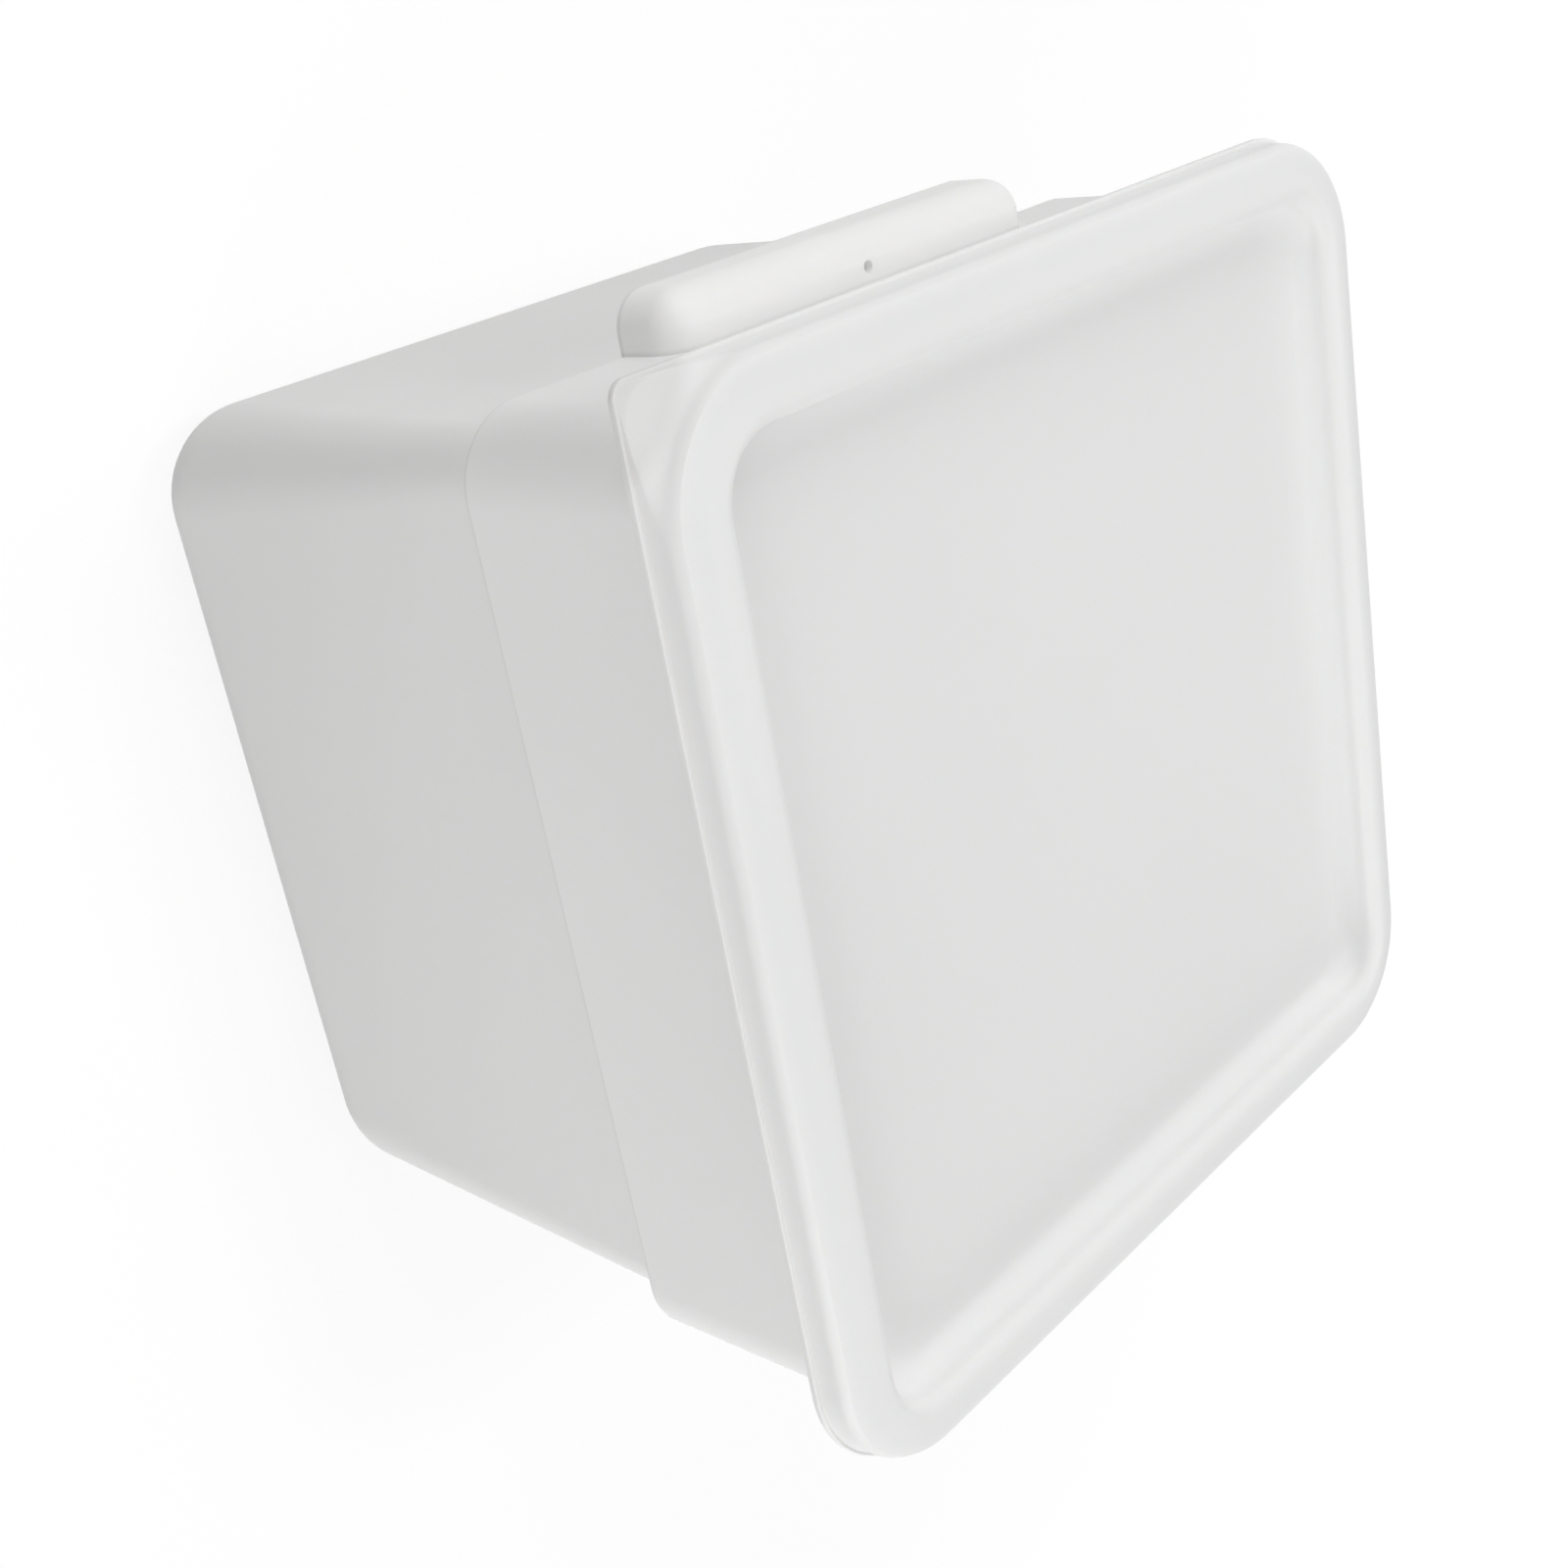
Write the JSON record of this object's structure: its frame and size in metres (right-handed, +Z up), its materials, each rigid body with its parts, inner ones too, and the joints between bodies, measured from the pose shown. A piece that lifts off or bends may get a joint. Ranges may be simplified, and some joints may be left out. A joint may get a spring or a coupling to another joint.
{
  "type": "dough proofing container",
  "caption": "Square moulded plastic tub with a stepped-out collar and hollow finger grips, closed by a lid that snaps over the rim, with a sunken panel and a corner lift tab.",
  "frame": {"origin": "middle of the underside of the tub, on the surface that it stands on", "axes": "+Z up, the way the lid lifts off; +Y and -Y through the two finger grips; the lift tab is at the +X, -Y corner of the lid"},
  "size_m": [0.2, 0.2024, 0.1676],
  "materials": {
    "tub_plastic": "milky white polypropylene, satin",
    "lid_plastic": "milky white polypropylene, satin"
  },
  "bodies": {
    "tub": {"tub": "tub_plastic"},
    "lid": {"lid": "lid_plastic"}
  },
  "joints": [
    {"name": "lid_lift", "type": "slide", "parent": "tub", "child": "lid", "axis": [0, 0, 1], "range_m": [0, 0.2]}
  ]
}
